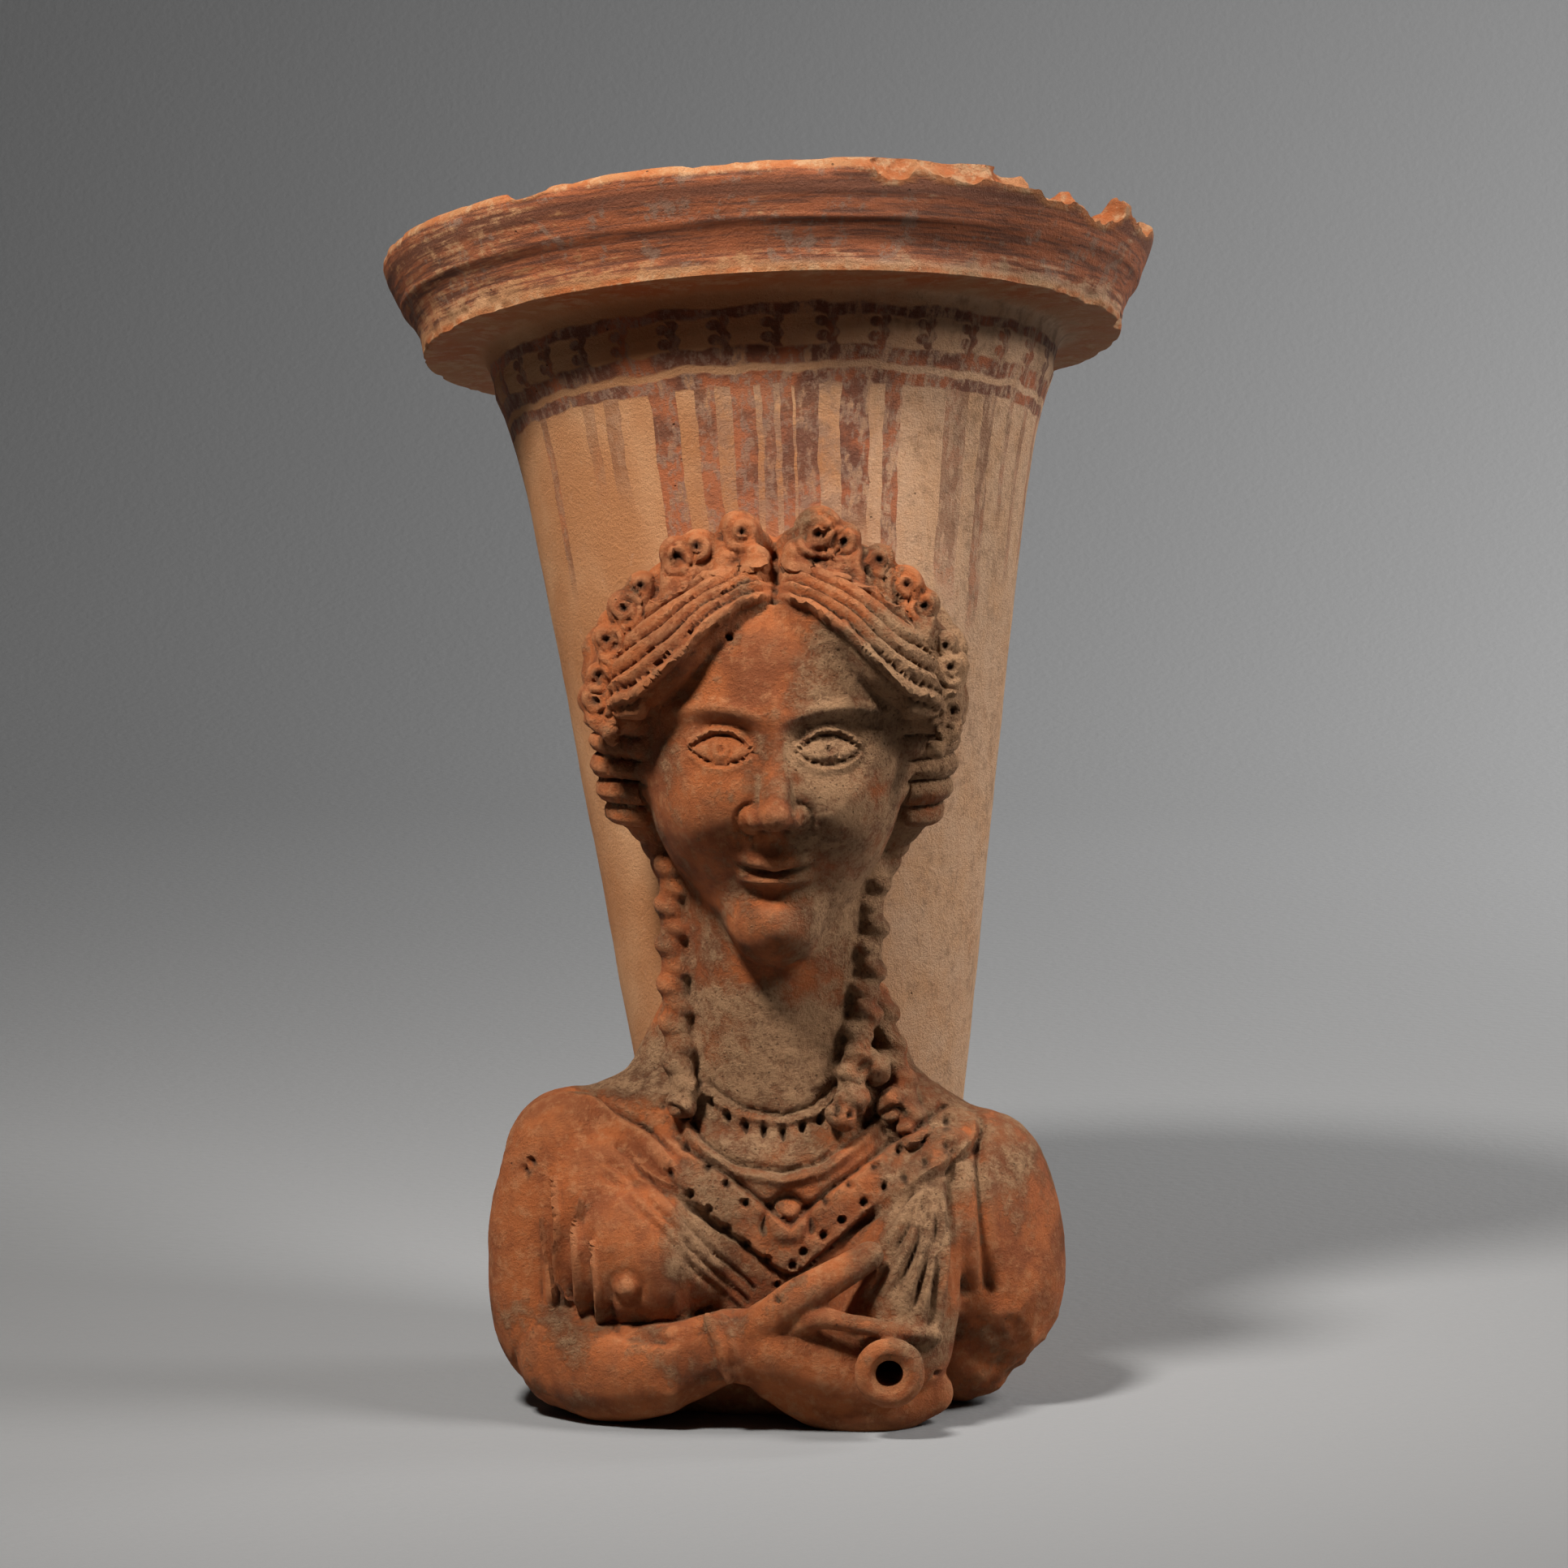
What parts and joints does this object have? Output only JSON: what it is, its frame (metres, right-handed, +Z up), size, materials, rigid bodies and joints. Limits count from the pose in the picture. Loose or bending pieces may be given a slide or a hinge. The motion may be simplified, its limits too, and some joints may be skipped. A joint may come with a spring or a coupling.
{
  "type": "terracotta rhyton",
  "caption": "Leaning flared drinking horn with a flanged mouth, rising behind a moulded bust of a woman whose hand presses a ringed pouring spout on her breast",
  "frame": {"origin": "on the flat underside, under the middle of the bust", "axes": "the woman looks along -Y, her left is +X, +Z is up; the horn leans back towards +Y"},
  "size_m": [0.1887, 0.2377, 0.2909],
  "materials": {
    "terracotta": "fired orange-red clay, buff slip on the horn with worn dark red-brown painting, gritty grey-beige encrustation"
  },
  "bodies": {
    "root": {"rhyton": "terracotta"}
  },
  "joints": []
}
